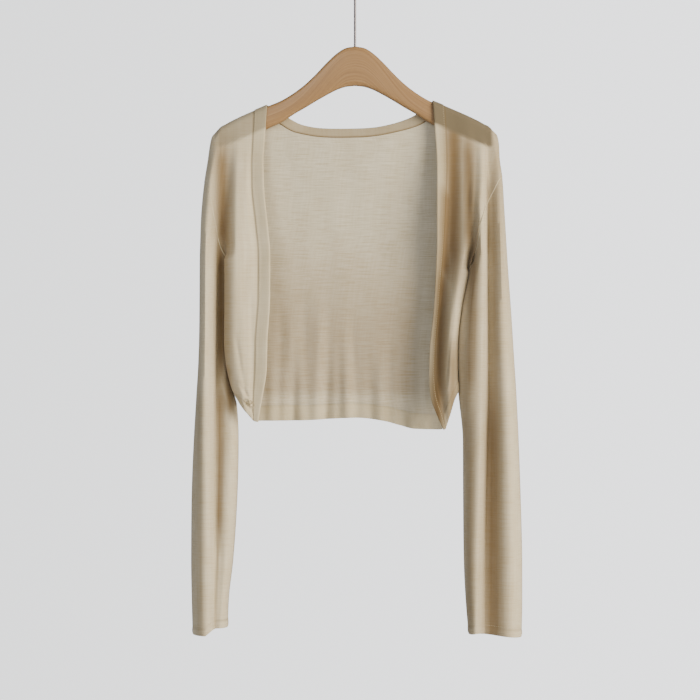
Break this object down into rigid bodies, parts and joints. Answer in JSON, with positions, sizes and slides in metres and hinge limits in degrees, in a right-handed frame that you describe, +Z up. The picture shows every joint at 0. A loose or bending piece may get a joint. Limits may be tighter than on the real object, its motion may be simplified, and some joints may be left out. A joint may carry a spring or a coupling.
{
  "type": "open-front cardigan on a wooden clothes hanger",
  "caption": "Cropped open-front cardigan in fine knit with long sleeves and a self band, held by its shoulders on an arched wooden hanger with a wire hook.",
  "frame": {"origin": "inside top of the hanger's hook, where the hanger rests on a rail", "axes": "+Z up, the fronts face -Y, +X to the right as seen from the front"},
  "size_m": [0.4509, 0.088, 0.9296],
  "materials": {
    "knit": "fine matt beige jersey, a little sheer",
    "band": "the same jersey doubled",
    "wood": "light satin lacquered wood",
    "wire": "dark bright drawn wire"
  },
  "bodies": {
    "root": {"hanger_wood": "wood", "hanger_hook": "wire", "back_panel": "knit", "front_left": "knit", "front_right": "knit", "sleeve_left": "knit", "sleeve_right": "knit", "band_left": "band", "band_right": "band", "band_neck": "band", "hem_band_back": "band", "hem_band_left": "band", "hem_band_right": "band"}
  },
  "joints": []
}
